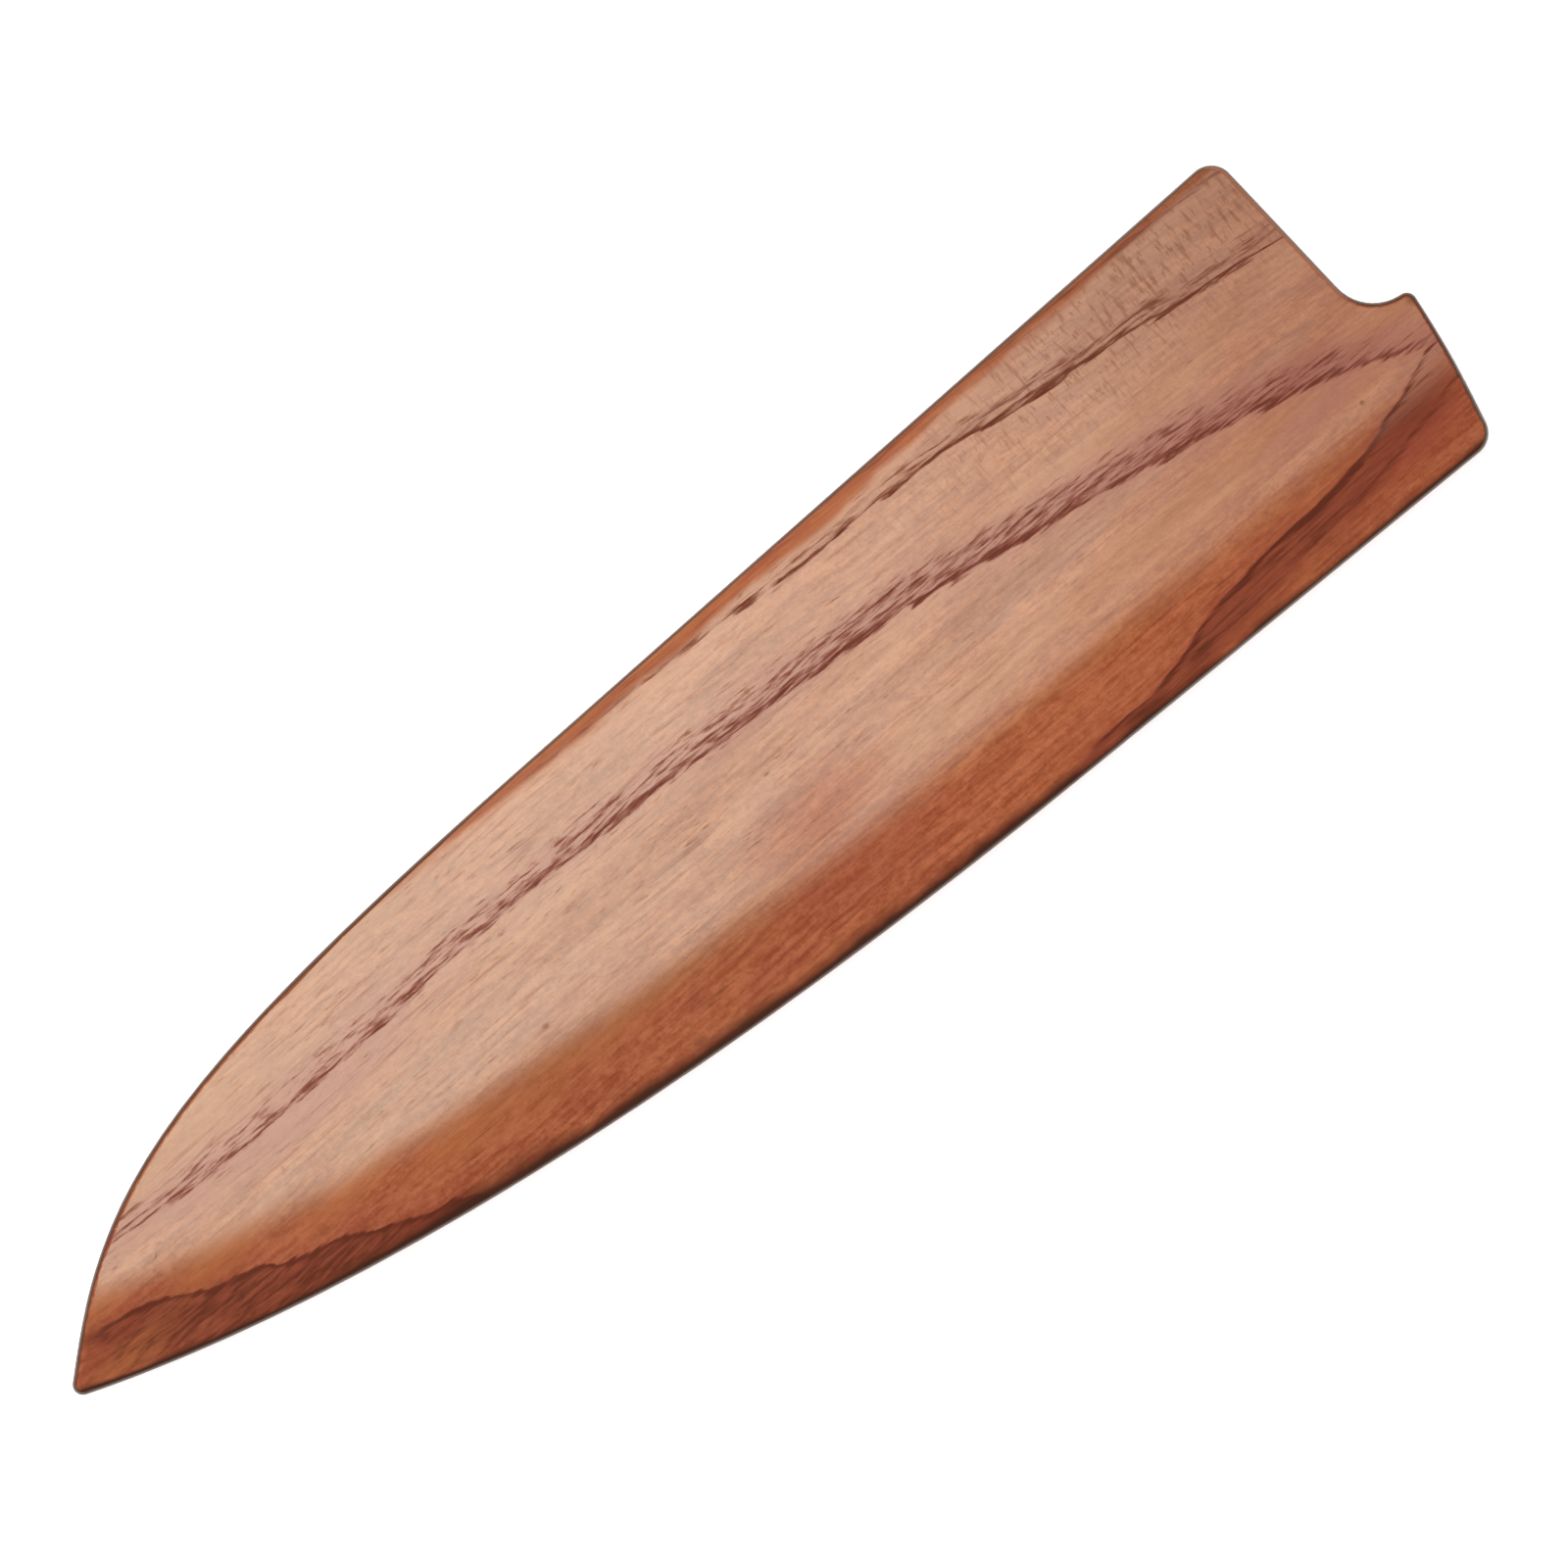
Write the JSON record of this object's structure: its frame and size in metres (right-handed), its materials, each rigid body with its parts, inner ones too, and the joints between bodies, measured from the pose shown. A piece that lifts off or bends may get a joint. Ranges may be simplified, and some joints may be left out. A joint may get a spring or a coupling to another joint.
{
  "type": "knife blade guard",
  "caption": "Glued wooden guard for a chef's knife blade, with a long bevel on the edge side, a notched mouth and hidden magnets that hold the blade.",
  "frame": {"origin": "middle of the outline, on the flat back face", "axes": "+X from the tip to the mouth along the spine, +Y towards the spine side, +Z from the back face to the front face"},
  "size_m": [0.23, 0.053, 0.014],
  "materials": {
    "lacquered_wood": "satin lacquer over red-brown wood with dark streaks",
    "strip_wood": "satin lacquer outside, bare wood inside the slot",
    "plated_magnet": "bright nickel plating"
  },
  "bodies": {
    "root": {"front_panel": "lacquered_wood", "back_panel": "lacquered_wood", "spine_strip": "strip_wood", "edge_strip": "strip_wood", "tip_block": "strip_wood", "front_magnet_1": "plated_magnet", "front_magnet_2": "plated_magnet", "front_magnet_3": "plated_magnet", "back_magnet_1": "plated_magnet", "back_magnet_2": "plated_magnet", "back_magnet_3": "plated_magnet"}
  },
  "joints": []
}
